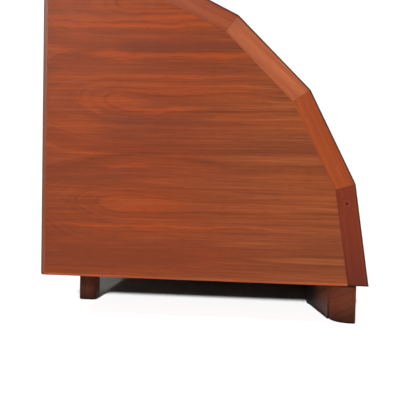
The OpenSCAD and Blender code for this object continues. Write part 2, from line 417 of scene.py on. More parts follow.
class Cut:
    """The place in the tree of each point of a piece, and the slow noises that bend its figure."""

    def __init__(self, paint: Paint, grain: Grain) -> None:
        """Cuts the piece.

        Args:
            paint: The piece's material.
            grain: Where it was cut from.
        """
        self.paint = paint
        self.grain = grain
        self.point = paint.point(grain.turn(), grain.shift)
        self.along, self.depth, self.across = paint.parts(self.point)
        self.wander = WANDER.on(self) - NOISE_MIDDLE
        self.ripple = RIPPLE.on(self) - NOISE_MIDDLE

    def rings(self) -> Wire:
        """Distance from the tree's pith, which the rings follow.

        Straight grain is cut far from the pith, so its rings are nearly flat. In a cathedral the pith dips
        away from the face behind the mouth, so the distance is the root of (height from the eye) squared
        plus (how far the pith has dipped) squared.

        Returns:
            The distance, in metres.
        """
        grain = self.grain
        if grain.figure is Figure.STRAIGHT:
            rings = self.across + self.depth * STRAIGHT_LEAN
        else:
            reach = (self.across + self.wander * EYE_WANDER - grain.eye).pingpong(grain.eye_gap / 2)
            behind = (self.along * -1.0 + grain.mouth + self.wander * MOUTH_WANDER).more(0.0)
            dip = behind * grain.taper
            rings = (reach * reach + dip * dip).root() + self.depth * CATHEDRAL_LEAN
            rings = rings + self.along * CATHEDRAL_DRIFT
        return rings + self.wander * RING_WANDER + self.ripple * RING_RIPPLE

    def calm(self) -> Value:
        """Strength of the ring lines, which grow faint inside a cathedral."""
        if self.grain.figure is Figure.STRAIGHT:
            return 1.0
        return 1.0 - self.along.step(*(self.grain.mouth + way for way in CALM_RANGE)) * CALM


@dataclass(frozen=True)
class DownwardDarkening:
    """Growing darker downwards: painted shade on the bottom board's underside, and plain darker colour
    towards the bottom on the feet and the lowest strip.
    """

    top: float  # height where it starts
    bottom: float  # height where it is strongest
    strength: float  # how strong it gets, 0 to 1
    ragged: float = 0.0  # how much its height wanders

    def on(self, cut: Cut) -> Wire:
        """Its strength on a piece."""
        height = cut.paint.parts(cut.paint.point())[2]
        return (height + cut.wander * self.ragged).step(self.top, self.bottom) * self.strength


@dataclass(frozen=True)
class Knot:
    """A pin knot, with a pale halo round a dark heart."""

    place: Triple  # its middle
    push: float = 0.012  # how far the rings swerve round it
    swerve: float = 0.008  # width of the part where they swerve
    width: float = 0.005  # width of the knot itself
    # strength of the bell where the halo starts and where it is full
    halo: tuple[float, float] = (0.30, 0.75)
    heart: tuple[float, float] = (0.72, 0.96)  # the same for the heart
    mixes: tuple[float, float] = (0.55, 0.85)  # strengths of the halo and of the heart
    # brightness of the halo next to the light colour, and of the heart next to the dark one
    shades: tuple[float, float] = (1.1, 0.25)

    def distance(self, paint: Paint) -> Wire:
        """Distance from the knot's middle, in metres."""
        away = paint.point(shift=tuple(-value for value in self.place))
        return paint.add("ShaderNodeVectorMath", {"operation": "LENGTH"}, {0: away}, "Value")

    def colour(self, paint: Paint, below: Wire, wood: "Wood") -> Wire:
        """Lays the halo and the heart over the wood.

        Args:
            paint: The piece's material.
            below: The wood's colour.
            wood: The wood.

        Returns:
            The new colour.
        """
        knot = self.distance(paint).bell(self.width)
        pale, dark = scaled(wood.light, self.shades[0]), scaled(wood.dark, self.shades[1])
        ringed = paint.mix(knot.step(*self.halo) * self.mixes[0], below, pale)
        return paint.mix(knot.step(*self.heart) * self.mixes[1], ringed, dark)


@dataclass(frozen=True)
class Wood:
    """An oiled wood with rings, fibres, pores and dark or rubbed edges."""

    name: str  # the finish's name
    light: Colour  # colour between the rings
    middle: Colour  # colour of most of the wood
    dark: Colour  # colour of the rings
    warm: Colour  # colour that some patches and streaks lean to
    dull: Colour  # colour that other patches and streaks lean to
    line_rate: float = 210.0  # ring lines for each metre across the grain
    contrast: float = 0.6  # strength of the rings, 0 to 1
    pore_depth: float = 0.5  # strength of the pores, 0 to 1
    roughness: float = 0.42  # middle roughness of the finish
    coat: float = 0.03  # weight of the clear finish on top
    specular: float = 0.18  # strength of the wood's own gloss
    edge: Colour = (0.03, 0.01, 0.005)  # colour of the eased edges
    edge_mix: float = 0.6  # how much of it they take
    knot: Optional[Knot] = None  # a pin knot, or None
    downward_darkening: Optional[DownwardDarkening] = None  # where the wood is darkened towards the floor, or None
    tone_and_shade_gain: Colour = (0.96, 1.22, 1.62)  # gain of red, green and blue where the wood's tone changes; on the glue blocks, painted shade

    def tinted(self, tint: Colour) -> "Wood":
        """The same wood with its colours scaled: another board's tone, and on some pieces painted shade and
        sheen.

        Args:
            tint: Gain of red, green and blue.

        Returns:
            The scaled wood.
        """
        tones = ("light", "middle", "dark", "warm", "dull")
        changed = {tone: tuple(np.multiply(getattr(self, tone), tint).tolist()) for tone in tones}
        return replace(self, **changed)

    def material(self, grain: Grain, label: str) -> bpy.types.Material:
        """Builds the material for one piece.

        Args:
            grain: Where the piece was cut from.
            label: The piece's name.

        Returns:
            The material.
        """
        paint = Paint(f"{self.name}_{label}")
        cut = Cut(paint, grain)
        rings = cut.rings()
        if self.knot is not None:
            rings = rings + self.knot.distance(paint).bell(self.knot.swerve) * self.knot.push
        lines = paint.noise_along(rings, self.line_rate, *LINE_NOISE)
        hairs = HAIRS.on(cut) - NOISE_MIDDLE
        fibre = FIBRE.on(cut)
        pores = PORES.on(cut).step(*PORE_RANGE)
        edge = paint.arris()
        stops = list(zip(TONE_STOPS, (self.dark, self.middle, self.light)))
        colour = paint.ramp(self._tone(cut, rings, lines, hairs), stops)
        colour = self._leanings(cut, colour, lines)
        # A change of tone along the grain; on the glue blocks, painted shade that deepens under the case.
        if grain.turned is not None:
            turned = (cut.along + cut.wander * TURN_WANDER).step(*grain.turned)
            colour = paint.mix(turned, colour, self.tone_and_shade_gain, "MULTIPLY")
        colour = paint.mix(pores * (PORE_MIX * self.pore_depth), colour, scaled(self.dark, PORE_SHADE))
        if self.knot is not None:
            colour = self.knot.colour(paint, colour, self)
        colour = paint.mix(edge * self.edge_mix, colour, self.edge)
        # Darker towards the bottom; on the bottom board's underside this is painted shade.
        if self.downward_darkening is not None:
            colour = paint.mix(self.downward_darkening.on(cut), colour, scaled(self.dark, DOWNWARD_DARK_TONE))
        relief = fibre * RELIEF.fibre + lines * RELIEF.lines - pores * self.pore_depth
        sheen = hairs * SHEEN.hairs + pores * SHEEN.pores + (fibre - NOISE_MIDDLE) * SHEEN.fibre
        return paint.finish(
            Base_Color=colour,
            Roughness=(sheen + edge * SHEEN.edge + self.roughness).clipped(),
            Specular_IOR_Level=self.specular,
            Coat_Weight=self.coat,
            Coat_Roughness=0.3,
            Normal=paint.bump(relief, strength=0.20, distance=0.25 * MM),
        )

    def _tone(self, cut: Cut, rings: Wire, lines: Wire, hairs: Wire) -> Wire:
        """How light the wood is: broad rings, ring lines and hairs, and in patches dark etched lines.

        Args:
            cut: The piece's place in the tree.
            rings: Distance from the pith.
            lines: The ring lines.
            hairs: Short, fine lines.

        Returns:
            The tone, about 0 to 1.
        """
        broad = cut.paint.noise_along(rings, self.line_rate * BROAD_RATE) - NOISE_MIDDLE
        etched = lines.step(*ETCH_RANGE) * PATCHES.on(cut).step(*PATCH_RANGE)
        tone = broad * (TONE.broad * self.contrast)
        tone = tone + (lines - NOISE_MIDDLE) * cut.calm() * (TONE.lines * self.contrast)
        tone = tone + hairs * (TONE.hairs * self.contrast) + TONE.middle
        return tone - etched * (TONE.etched * self.contrast)

    def _leanings(self, cut: Cut, colour: Wire, lines: Wire) -> Wire:
        """Leans patches and streaks of the wood to its warm and dull colours.

        Args:
            cut: The piece's place in the tree.
            colour: The colour so far.
            lines: The ring lines.

        Returns:
            The new colour.
        """
        drift = DRIFT.on(cut)
        warm = drift.step(*WARM_RANGE) * WARM_MIX
        dull = drift.step(*DULL_RANGE) * DULL_MIX
        for streak in cut.grain.streaks:
            band = streak.band(cut, lines)
            if streak.warmth > 0:
                warm = warm.more(band)
            else:
                dull = dull.more(band)
        colour = cut.paint.mix(dull, colour, self.dull)
        return cut.paint.mix(warm, colour, self.warm)


@dataclass(frozen=True)
class Ply:
    """Bare plywood, with its layers in bands through the thickness."""

    name: str  # the finish's name
    pale: Colour  # colour of the plies that run along
    brown: Colour  # colour of the plies that run across
    layer: float  # thickness of one ply
    # where one ply gives way to the next, as shares of a ply's thickness
    glue: tuple[float, float] = (0.4, 0.6)
    fibre: Triple = (30.0, 900.0, 600.0)  # rates of the fibres along the depth, width and height
    least: float = 0.3  # noise below which no fibre shows
    fibre_mix: float = 0.5  # strength of the fibres
    fibre_shade: float = 0.6  # brightness of the fibres next to the brown plies
    roughness: float = 0.6  # least roughness
    spread: float = 0.2  # how much rougher the fibres are

    def material(self, label: str) -> bpy.types.Material:
        """Builds the material for one piece, with plies stacked across the width.

        Args:
            label: The piece's name.

        Returns:
            The material.
        """
        paint = Paint(f"{self.name}_{label}")
        point = paint.point()
        ply = paint.parts(point)[1].pingpong(self.layer).step(*(self.layer * share for share in self.glue))
        fibre = paint.noise(point, self.fibre, detail=3.0)
        shown = (fibre - self.least).clipped() * self.fibre_mix
        colour = paint.mix(ply, self.pale, self.brown)
        return paint.finish(
            Base_Color=paint.mix(shown, colour, scaled(self.brown, self.fibre_shade)),
            Roughness=(fibre * self.spread + self.roughness).clipped(),
            Normal=paint.bump(fibre, strength=0.3, distance=0.2 * MM),
        )


@dataclass(frozen=True)
class Metal:
    """A worn metal with turning marks and dull patches."""

    name: str  # the finish's name
    bright: Colour  # colour of the clean metal
    dull: Colour  # colour of the tarnish
    roughness: float  # roughness of the clean metal
    patches: Triple = (320.0, 320.0, 320.0)  # rates of the tarnish
    edges: tuple[float, float] = (0.42, 0.66)  # noise where a patch of tarnish starts and where it is full
    tarnish: float = 0.75  # strength of its colour
    dusting: float = 0.25  # how much of the metal's shine it takes away
    matting: float = 0.28  # how much rougher it is
    marks: Triple = (300.0, 4200.0, 300.0)  # rates of the turning marks
    mark_depth: float = 0.15  # how much they change the roughness

    def material(self, label: str) -> bpy.types.Material:
        """Builds the material for one group of screws.

        Args:
            label: The group's name.

        Returns:
            The material.
        """
        paint = Paint(f"{self.name}_{label}")
        point = paint.point()
        patch = paint.noise(point, self.patches, detail=4.0, rough=0.6).step(*self.edges)
        marks = paint.noise(point, self.marks)
        rough = patch * self.matting + (marks - NOISE_MIDDLE) * self.mark_depth + self.roughness
        return paint.finish(
            Base_Color=paint.mix(patch * self.tarnish, self.bright, self.dull),
            Metallic=(1.0 - patch * self.dusting).clipped(),
            Roughness=rough.clipped(),
            Normal=paint.bump(marks, strength=0.25, distance=0.1 * MM),
        )


# --- Shapes ---


@dataclass(frozen=True)
class Quarter:
    """The faceted quarter round that the sides, strips and dividers follow."""

    x: float  # place of its centre along the depth of the case
    z: float  # height of its centre
    radius: float  # distance from the centre to each facet corner
    facets: int = 5  # number of flat facets

    @property
    def step(self) -> float:
        """Angle of one facet, in radians."""
        return math.pi / 2 / self.facets

    @property
    def apothem(self) -> float:
        """Distance from the centre to the middle of each facet."""
        return self.radius * math.cos(self.step / 2)

    def angle(self, index: int) -> float:
        """Angle of a facet's outward normal above the level. Facet 1 is the lowest."""
        return (index - 0.5) * self.step

    def facet(self, index: int, inset: float = 0.0) -> Line:
        """The line along a facet, as its normal's angle and its distance from the centre."""
        return (self.angle(index), self.apothem - inset)

    def mitre(self, index: int, up: bool) -> Line:
        """The line through the centre and the corner above a facet; up says which side is outside."""
        return (index * self.step + (math.pi / 2 if up else -math.pi / 2), 0.0)

    @staticmethod
    def level(height: float, up: bool) -> Line:
        """A level line; up says whether its outside is above it."""
        return (math.pi / 2, height) if up else (-math.pi / 2, -height)

    @staticmethod
    def plumb(place: float, front: bool) -> Line:
        """An upright line; front says whether its outside is in front of it."""
        return (0.0, place) if front else (math.pi, -place)

    def upright(self, y0: float, y1: float) -> Place:
        """Places a shape drawn in this quarter's plane between two places along the width.

        Args:
            y0: Where the shape's first face lies.
            y1: Where its other face lies.

        Returns:
            The placing.
        """
        def place(u: np.ndarray, v: np.ndarray, w: np.ndarray) -> np.ndarray:
            """Depth, width and height of each point, with w running from 0 to 1 across."""
            return np.stack([self.x + u, y0 + (y1 - y0) * w, self.z + v], axis=-1)

        return place


def crossings(lines: np.ndarray) -> np.ndarray:
    """Where each line crosses the one before it.

    A line is the set of points whose distance along its normal is fixed, so a crossing solves two such
    equations: x = (d1 sin b - d2 sin a) / sin(b - a), y = (d2 cos a - d1 cos b) / sin(b - a).

    Args:
        lines: Angles and distances, shape (..., sides, 2).

    Returns:
        The corners, shape (..., sides, 2).
    """
    before = np.roll(lines, 1, axis=-2)
    a, d1 = before[..., 0], before[..., 1]
    b, d2 = lines[..., 0], lines[..., 1]
    across = np.sin(b - a)
    x = (d1 * np.sin(b) - d2 * np.sin(a)) / across
    y = (d2 * np.cos(a) - d1 * np.cos(b)) / across
    return np.stack([x, y], axis=-1)


def eased(lines: Sequence[Line], radii: Sequence[float], steps: int = 6) -> list[Line]:
    """Rounds the corner before each line by cutting it with tangents to an arc.

    Each tangent's angle lies between those of the two sides. Its distance is the arc centre's distance
    along that angle plus the radius.

    Args:
        lines: The outline's sides, in order round it.
        radii: The radius of the corner before each side, or 0 to keep it sharp.
        steps: Tangents in each round corner.

    Returns:
        The sides of the rounded outline.
    """
    sides = np.array(lines, float)
    rounded: list[Line] = []
    for index, radius in enumerate(radii):
        a, d1 = sides[index - 1]
        b, d2 = sides[index]
        if radius > 0:
            centre = crossings(np.array([[a, d1 - radius], [b, d2 - radius]]))[1]
            turn = (b - a) % (2 * math.pi)
            angles = a + turn * np.arange(1, steps + 1) / (steps + 1)
            distances = centre[0] * np.cos(angles) + centre[1] * np.sin(angles) + radius
            rounded += list(zip(angles.tolist(), distances.tolist()))
        rounded.append((b, d2))
    return rounded


@dataclass
class Shell:
    """A closed mesh under construction: points, faces and the share of each point in a rounded edge."""

    points: list[np.ndarray] = field(default_factory=list)
    faces: list[list[int]] = field(default_factory=list)
    arris: list[np.ndarray] = field(default_factory=list)
    count: int = 0

    def add(self, points: np.ndarray, faces: Iterable[Sequence[int]], arris: np.ndarray) -> None:
        """Adds points and faces.

        Args:
            points: Points of shape (..., 3).
            faces: Faces that number the points from 0.
            arris: Each point's share in a rounded edge.
        """
        self.faces += [[corner + self.count for corner in face] for face in faces]
        self.points.append(points.reshape(-1, 3))
        self.arris.append(arris.reshape(-1))
        self.count += points.size // 3

    def add_rings(self, rings: np.ndarray, arris: np.ndarray) -> None:
        """Adds a closed skin over a stack of rings, with a flat cap at each end.

        Args:
            rings: Points of shape (rings, around, 3).
            arris: Arris value of each ring.
        """
        height, around = rings.shape[:2]
        row = np.arange(height - 1)[:, None] * around
        here = np.arange(around)[None, :]
        there = (here + 1) % around
        quads = np.stack([row + here, row + there, row + around + there, row + around + here], axis=-1)
        faces = quads.reshape(-1, 4).tolist()
        faces.append(list(range(around))[::-1])
        faces.append(list(range((height - 1) * around, height * around)))
        self.add(rings, faces, np.repeat(arris, around))

    def mesh(self, name: str, crease: float = 32.0) -> bpy.types.Mesh:
        """Makes the Blender mesh, facing outwards, smooth except across creases.

        Args:
            name: The mesh's name.
            crease: Smallest angle between faces that stays sharp, in degrees.

        Returns:
            The mesh.
        """
        points = np.concatenate(self.points)
        mesh = bpy.data.meshes.new(name)
        mesh.from_pydata(points, [], self.faces)
        mesh.update()
        if self._volume(mesh) < 0:
            mesh.flip_normals()
        mesh.polygons.foreach_set("use_smooth", np.ones(len(mesh.polygons), bool))
        mesh.set_sharp_from_angle(angle=math.radians(crease))
        layer = mesh.attributes.new("arris", "FLOAT", "POINT")
        layer.data.foreach_set("value", np.concatenate(self.arris).astype(np.float32))
        return mesh

    @staticmethod
    def _volume(mesh: bpy.types.Mesh) -> float:
        """Six times the volume inside the mesh: the sum of each triangle's triple product."""
        mesh.calc_loop_triangles()
        corners = np.zeros(len(mesh.loop_triangles) * 3, np.int32)
        mesh.loop_triangles.foreach_get("vertices", corners)
        place = np.zeros(len(mesh.vertices) * 3, np.float32)
        mesh.vertices.foreach_get("co", place)
        a, b, c = place.reshape(-1, 3)[corners.reshape(-1, 3)].astype(float).transpose(1, 0, 2)
        return float(np.einsum("ij,ij->", a, np.cross(b, c)))


@dataclass(frozen=True)
class Slab:
    """A flat piece cut to a convex outline, with its edges eased."""

    lines: Sequence[Line]  # the outline's sides, in order round it
    place: Place  # puts the outline's plane and thickness into the case
    thickness: float  # thickness of the piece
    arris: float = 0.8 * MM  # radius that eases the edges of both faces
    tight: frozenset[int] = frozenset()  # sides that meet a neighbour, whose edge is eased by far less
    tight_arris: float = 0.12 * MM  # the radius there
    steps: int = 5  # facets in each eased edge
    line: float = 1.0  # power that shapes the edge's dark line; the smaller it is, the wider the line
    margin: float = 1.2 * MM  # width of a ring of the flat faces that keeps their shading flat

    def build(self, shell: Shell) -> None:
        """Adds the slab to a shell.

        Going round the edge of a face by an angle from 0 to a quarter turn, the outline moves out by the
        radius times the angle's sine, and the height rises by the radius times one minus its cosine. One
        more ring on each flat keeps the shading flat there.

        Args:
            shell: Where the points and faces go.
        """
        turn = np.linspace(0, math.pi / 2, self.steps + 1)
        inset = np.concatenate([[1.0], 1 - np.sin(turn), [0.0]])
        rise = np.concatenate([[0.0], self.arris * (1 - np.cos(turn)), [self.arris + self.margin]])
        beyond = np.zeros_like(inset)
        beyond[0] = self.margin
        wear = np.concatenate([[0.0], np.sin(turn) ** self.line, [0.0]])
        sides = np.array(self.lines, float)
        reach = np.array([self.tight_arris if i in self.tight else self.arris for i in range(len(sides))])
        stack = np.repeat(sides[None], len(inset), axis=0)
        stack[..., 1] -= inset[:, None] * reach[None] + beyond[:, None]
        flat = crossings(np.concatenate([stack, stack[::-1]]))
        heights = np.concatenate([rise, self.thickness - rise[::-1]]) / self.thickness
        w = np.broadcast_to(heights[:, None], flat.shape[:2])
        shell.add_rings(self.place(flat[..., 0], flat[..., 1], w), np.concatenate([wear, wear[::-1]]))


def make(node: str, material: bpy.types.Material, slot: str, *slabs: Slab) -> bpy.types.Object:
    """Builds eased slabs as one piece, and puts it in the scene in place of a CAD node.

    Args:
        node: The CAD node.
        material: The piece's finish.
        slot: The record's material slot; not used.
        slabs: The slabs.

    Returns:
        The piece.
    """
    shell = Shell()
    for slab in slabs:
        slab.build(shell)
    mesh = shell.mesh(node)
    mesh.materials.append(material)
    piece = bpy.data.objects.new(f"{node}_eased", mesh)
    bpy.context.scene.collection.objects.link(piece)
    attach(piece, BODY)
    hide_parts(node)
    LOG.info("%s: %d faces, replaces %s", piece.name, len(mesh.polygons), node)
    return piece


def dress(node: str, material: bpy.types.Material) -> None:
    """Gives a CAD node that keeps its own shape a new material.

    Args:
        node: The CAD node.
        material: The material.
    """
    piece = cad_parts[node]
    if not piece.material_slots:
        piece.data.materials.append(material)
    for place in piece.material_slots:
        place.material = material
    LOG.info("%s: dressed in %s", node, material.name)


# --- Finishes of this stand ---

VENEER = Wood(
    name="walnut_veneer",
    light=linear(164, 80, 36),
    middle=linear(129, 56, 24),
    dark=linear(88, 35, 15),
    warm=linear(165, 68, 21),
    dull=linear(106, 49, 29),
    contrast=0.68,
    roughness=0.48,
    specular=0.08,
    coat=0.02,
)
STRIP = Wood(
    name="walnut_strip",
    light=linear(152, 74, 36),
    middle=linear(130, 57, 26),
    dark=linear(98, 40, 18),
    warm=linear(146, 64, 24),
    dull=linear(110, 50, 28),
    line_rate=130.0,
    contrast=0.5,
    specular=0.14,
    edge=linear(30, 12, 7),
    edge_mix=1.0,
)
BOARD = Wood(
    name="walnut_board",
    light=linear(150, 78, 46),
    middle=linear(124, 60, 34),
    dark=linear(90, 41, 25),
    warm=linear(140, 62, 28),
    dull=linear(106, 54, 36),
    line_rate=180.0,
    roughness=0.46,
    edge=linear(150, 88, 54),
    edge_mix=0.3,
)
FOOT = Wood(
    name="dark_walnut",
    light=linear(108, 52, 30),
    middle=linear(88, 41, 24),
    dark=linear(60, 28, 16),
    warm=linear(104, 44, 18),
    dull=linear(72, 37, 24),
    line_rate=120.0,
    contrast=0.75,
    roughness=0.52,
    specular=0.06,
    coat=0.02,
    edge=linear(26, 13, 9),
    edge_mix=0.85,
    downward_darkening=DownwardDarkening(top=0.026, bottom=-0.006, strength=0.8, ragged=0.012),
    # Painted shade: where the glue blocks reach in under the case they turn almost black.
    tone_and_shade_gain=(0.10, 0.09, 0.09),
)
BEECH = Wood(
    name="beech",
    light=linear(226, 190, 150),
    middle=linear(208, 168, 126),
    dark=linear(180, 136, 96),
    warm=linear(214, 170, 124),
    dull=linear(190, 156, 120),
    roughness=0.6,
    coat=0.0,
)
PLYWOOD = Ply(name="plywood", pale=linear(205, 172, 130), brown=linear(168, 128, 88), layer=1.5 * MM)
BRASS = Metal(name="brass", bright=(0.78, 0.56, 0.24), dull=(0.34, 0.22, 0.09), roughness=0.26)
STEEL = Metal(name="zinc_steel", bright=(0.62, 0.63, 0.64), dull=(0.33, 0.32, 0.30), roughness=0.32)

# The veneer's streaks from the top down: height, spread, start, end and warmth.
FLITCH_STREAKS = (
    Streak(0.394, 0.010, -0.210, -0.080, 0.60),
    Streak(0.378, 0.005, -0.140, -0.030, 0.60),
    Streak(0.366, 0.004, -0.200, -0.010, 0.80),
    Streak(0.357, 0.003, -0.190, 0.000, 1.00),
    Streak(0.346, 0.003, -0.130, 0.090, -0.60),
    Streak(0.334, 0.006, -0.140, 0.110, -0.85),
    Streak(0.321, 0.003, -0.140, 0.060, 0.85),
    Streak(0.311, 0.002, -0.190, 0.060, -0.50),
    Streak(0.303, 0.003, -0.190, 0.060, -0.55),
    Streak(0.294, 0.002, -0.180, 0.080, 0.60),
    Streak(0.280, 0.009, -0.110, 0.060, 0.35),
    Streak(0.265, 0.006, -0.150, -0.100, 0.70),
    Streak(0.255, 0.0025, -0.100, -0.018, 1.00),
    Streak(0.240, 0.007, -0.125, -0.010, -0.70),
    Streak(0.222, 0.010, -0.130, -0.020, -0.40),
    Streak(0.201, 0.002, -0.165, -0.110, 0.60),
    Streak(0.186, 0.002, -0.115, -0.085, 0.80),
    Streak(0.168, 0.008, -0.190, -0.100, -0.50),
    Streak(0.140, 0.016, -0.120, -0.040, 0.40),
    Streak(0.112, 0.0018, -0.155, 0.090, 0.90),
    Streak(0.092, 0.006, -0.150, 0.020, -0.55),
    Streak(0.068, 0.020, -0.230, -0.020, -0.60),
)


# --- The stand ---


@dataclass(frozen=True)
class Plan:
    """The stand's sizes, read from the frame, in metres."""

    quarter: Quarter  # the faceted outline
    half_width: float  # half of the overall width
    side: float  # thickness of a side panel
    strip: float  # width of the facet strips
    back_front: float  # front face of the back board, from the quarter's centre
    bottom: float  # thickness of the bottom board

    @classmethod
    def from_frame(cls) -> "Plan":
        """Reads the sizes from the CAD nodes' boxes.

        Returns:
            The plan.
        """
        low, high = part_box("left_back_lipping")
        lipping_low, lipping_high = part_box("left_bottom_lipping")
        quarter = Quarter(x=high.x, z=low.z, radius=high.z - low.z)
        reach = (lipping_high.x - quarter.x) * math.cos(quarter.angle(1))
        return cls(
            quarter=quarter,
            half_width=-low.y,
            side=lipping_high.y - lipping_low.y,
            strip=quarter.apothem - reach,
            back_front=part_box("back_board")[1].x - quarter.x,
            bottom=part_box("bottom_board")[1].z - quarter.z,
        )

    @property
    def inner(self) -> float:
        """Half of the width between the side panels."""
        return self.half_width - self.side


@dataclass
class SidePanel:
    """One veneered side with its mitred strips and lippings."""

    plan: Plan  # the stand's sizes
    name: str  # left or right
    sign: int  # -1 for the left side and 1 for the right
    # gain of red, green and blue of each strip, from the lowest strip up: partly each board's own tone,
    # partly painted sheen that changes with the slope of its grain
    strip_tone_and_sheen_tints: tuple[Colour, ...] = (
        (0.74, 0.52, 0.44),
        (1.28, 1.22, 0.80),
        (1.52, 1.95, 2.55),
        (1.10, 1.08, 1.02),
        (1.00, 1.00, 1.00),
    )
    strip_arris: float = 2.6 * MM  # radius that eases the strips' free edges
    knot_down: float = 24.0 * MM  # height of the knot below the lowest mitre
    knot_in: float = 13.5 * MM  # distance of the knot from the lowest facet
    darken_below: float = 30.0 * MM  # depth below the case where the lowest strip would be darkest towards the bottom

    def across(self, depth: float) -> Place:
        """Places a shape from the panel's outer face inwards, to a depth."""
        edge = self.sign * self.plan.half_width
        return self.plan.quarter.upright(edge, edge - self.sign * depth)

    def build(self) -> None:
        """Builds and dresses every piece of the panel."""
        for index in range(1, self.plan.quarter.facets + 1):
            self.facet_strip(index)
        self.back_lipping()
        self.bottom_lipping()
        self.faces()
        core = PLYWOOD.material(f"{self.name}_core")
        dress(f"{self.name}_side_core", core)
        dress(f"{self.name}_tongues", core)

    def strip_wood(self, index: int) -> Wood:
        """The wood of one strip, each from its own board, with a tint that is partly painted sheen. The
        lowest has a knot and grows darker towards the bottom.

        Args:
            index: The strip's number, from the bottom.

        Returns:
            The wood.
        """
        # Each strip's tint holds its board's tone and a painted sheen.
        wood = STRIP.tinted(self.strip_tone_and_sheen_tints[index - 1])
        if index > 1:
            return wood
        quarter = self.plan.quarter
        angle = quarter.angle(index)
        rise = quarter.radius * math.sin(quarter.step) - self.knot_down
        front = (quarter.apothem - self.knot_in - rise * math.sin(angle)) / math.cos(angle)
        height = quarter.z + rise
        knot = Knot((quarter.x + front, self.sign * self.plan.half_width, height))
        downward_darkening = DownwardDarkening(height, quarter.z - self.darken_below, strength=0.42, ragged=0.03)
        return replace(wood, contrast=0.72, knot=knot, downward_darkening=downward_darkening)

    def facet_strip(self, index: int) -> None:
        """One mitred strip of solid wood, with its grain along its facet.

        Args:
            index: The strip's number, from the bottom.
        """
        node = f"{self.name}_facet_strip_{index}"
        quarter = self.plan.quarter
        lines = [
            quarter.facet(index),
            quarter.mitre(index, True),
            (quarter.angle(index) + math.pi, self.plan.strip - quarter.apothem),
            quarter.mitre(index - 1, False),
        ]
        tight = {1: {1, 2}, quarter.facets: {2, 3}}.get(index, {1, 2, 3})
        side = self.plan.side
        slab = Slab(lines, self.across(side), side, self.strip_arris, frozenset(tight), line=0.3)
        grain = Grain(
            Run.SLOPE,
            slope=quarter.angle(index) + math.pi / 2,
            shift=(0.37 * index, 0.21 * self.sign + 0.011 * index, 0.053 * index),
        )
        make(node, self.strip_wood(index).material(grain, f"{self.name}_{index}"), "walnut_strip", slab)

    def back_lipping(self) -> None:
        """The thin lipping up the back edge."""
        node = f"{self.name}_back_lipping"
        low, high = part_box(node)
        quarter = self.plan.quarter
        lines = [
            quarter.plumb(0.0, True),
            quarter.level(high.z - quarter.z, True),
            quarter.plumb(low.x - quarter.x, False),
            quarter.level(0.0, False),
        ]
        outline = eased(lines, [0.0, 0.0, 0.0, 2.5 * MM])
        width = high.y - low.y
        slab = Slab(outline, self.across(width), width, 1.5 * MM, frozenset({0}), line=0.4)
        wood = replace(STRIP, light=linear(138, 76, 48), middle=linear(122, 62, 37), line_rate=300.0)
        grain = Grain(Run.HEIGHT, shift=(0.8, 0.3 * self.sign, 0.12))
        make(node, wood.material(grain, node), "walnut_strip", slab)

    def bottom_lipping(self) -> None:
        """The thin lipping along the bottom edge."""
        node = f"{self.name}_bottom_lipping"
        quarter = self.plan.quarter
        lines = [
            quarter.facet(1, self.plan.strip),
            quarter.level(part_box(node)[1].z - quarter.z, True),
            quarter.plumb(0.0, False),
            quarter.level(0.0, False),
        ]
        side = self.plan.side
        slab = Slab(lines, self.across(side), side, 0.6 * MM, frozenset({0, 1, 2}))
        # Lighter wood than the strips: partly the lipping's own tone, partly a painted highlight along the
        # panel's bottom edge.
        wood = replace(STRIP, light=linear(176, 92, 48), middle=linear(160, 76, 38), line_rate=320.0)
        grain = Grain(Run.DEPTH, shift=(0.1, 0.17 * self.sign, 0.4))
        make(node, wood.material(grain, node), "walnut_strip", slab)

    def faces(self) -> None:
        """The veneer on both faces, from one level-grained flitch."""
        outer = Grain(
            Run.DEPTH,
            shift=ORIGIN if self.sign < 0 else (0.03, 0.2, 0.0),
            figure=Figure.CATHEDRAL,
            eye=0.138,
            mouth=-0.085,
            streaks=FLITCH_STREAKS,
            turned=(-0.060, 0.120),
        )
        inner = replace(outer, shift=(0.4, 0.5 * self.sign, 0.03), mouth=0.3, streaks=(), turned=None)
        dress(f"{self.name}_outer_veneer", VENEER.material(outer, f"{self.name}_outer"))
        dress(f"{self.name}_inner_veneer", VENEER.material(inner, f"{self.name}_inner"))


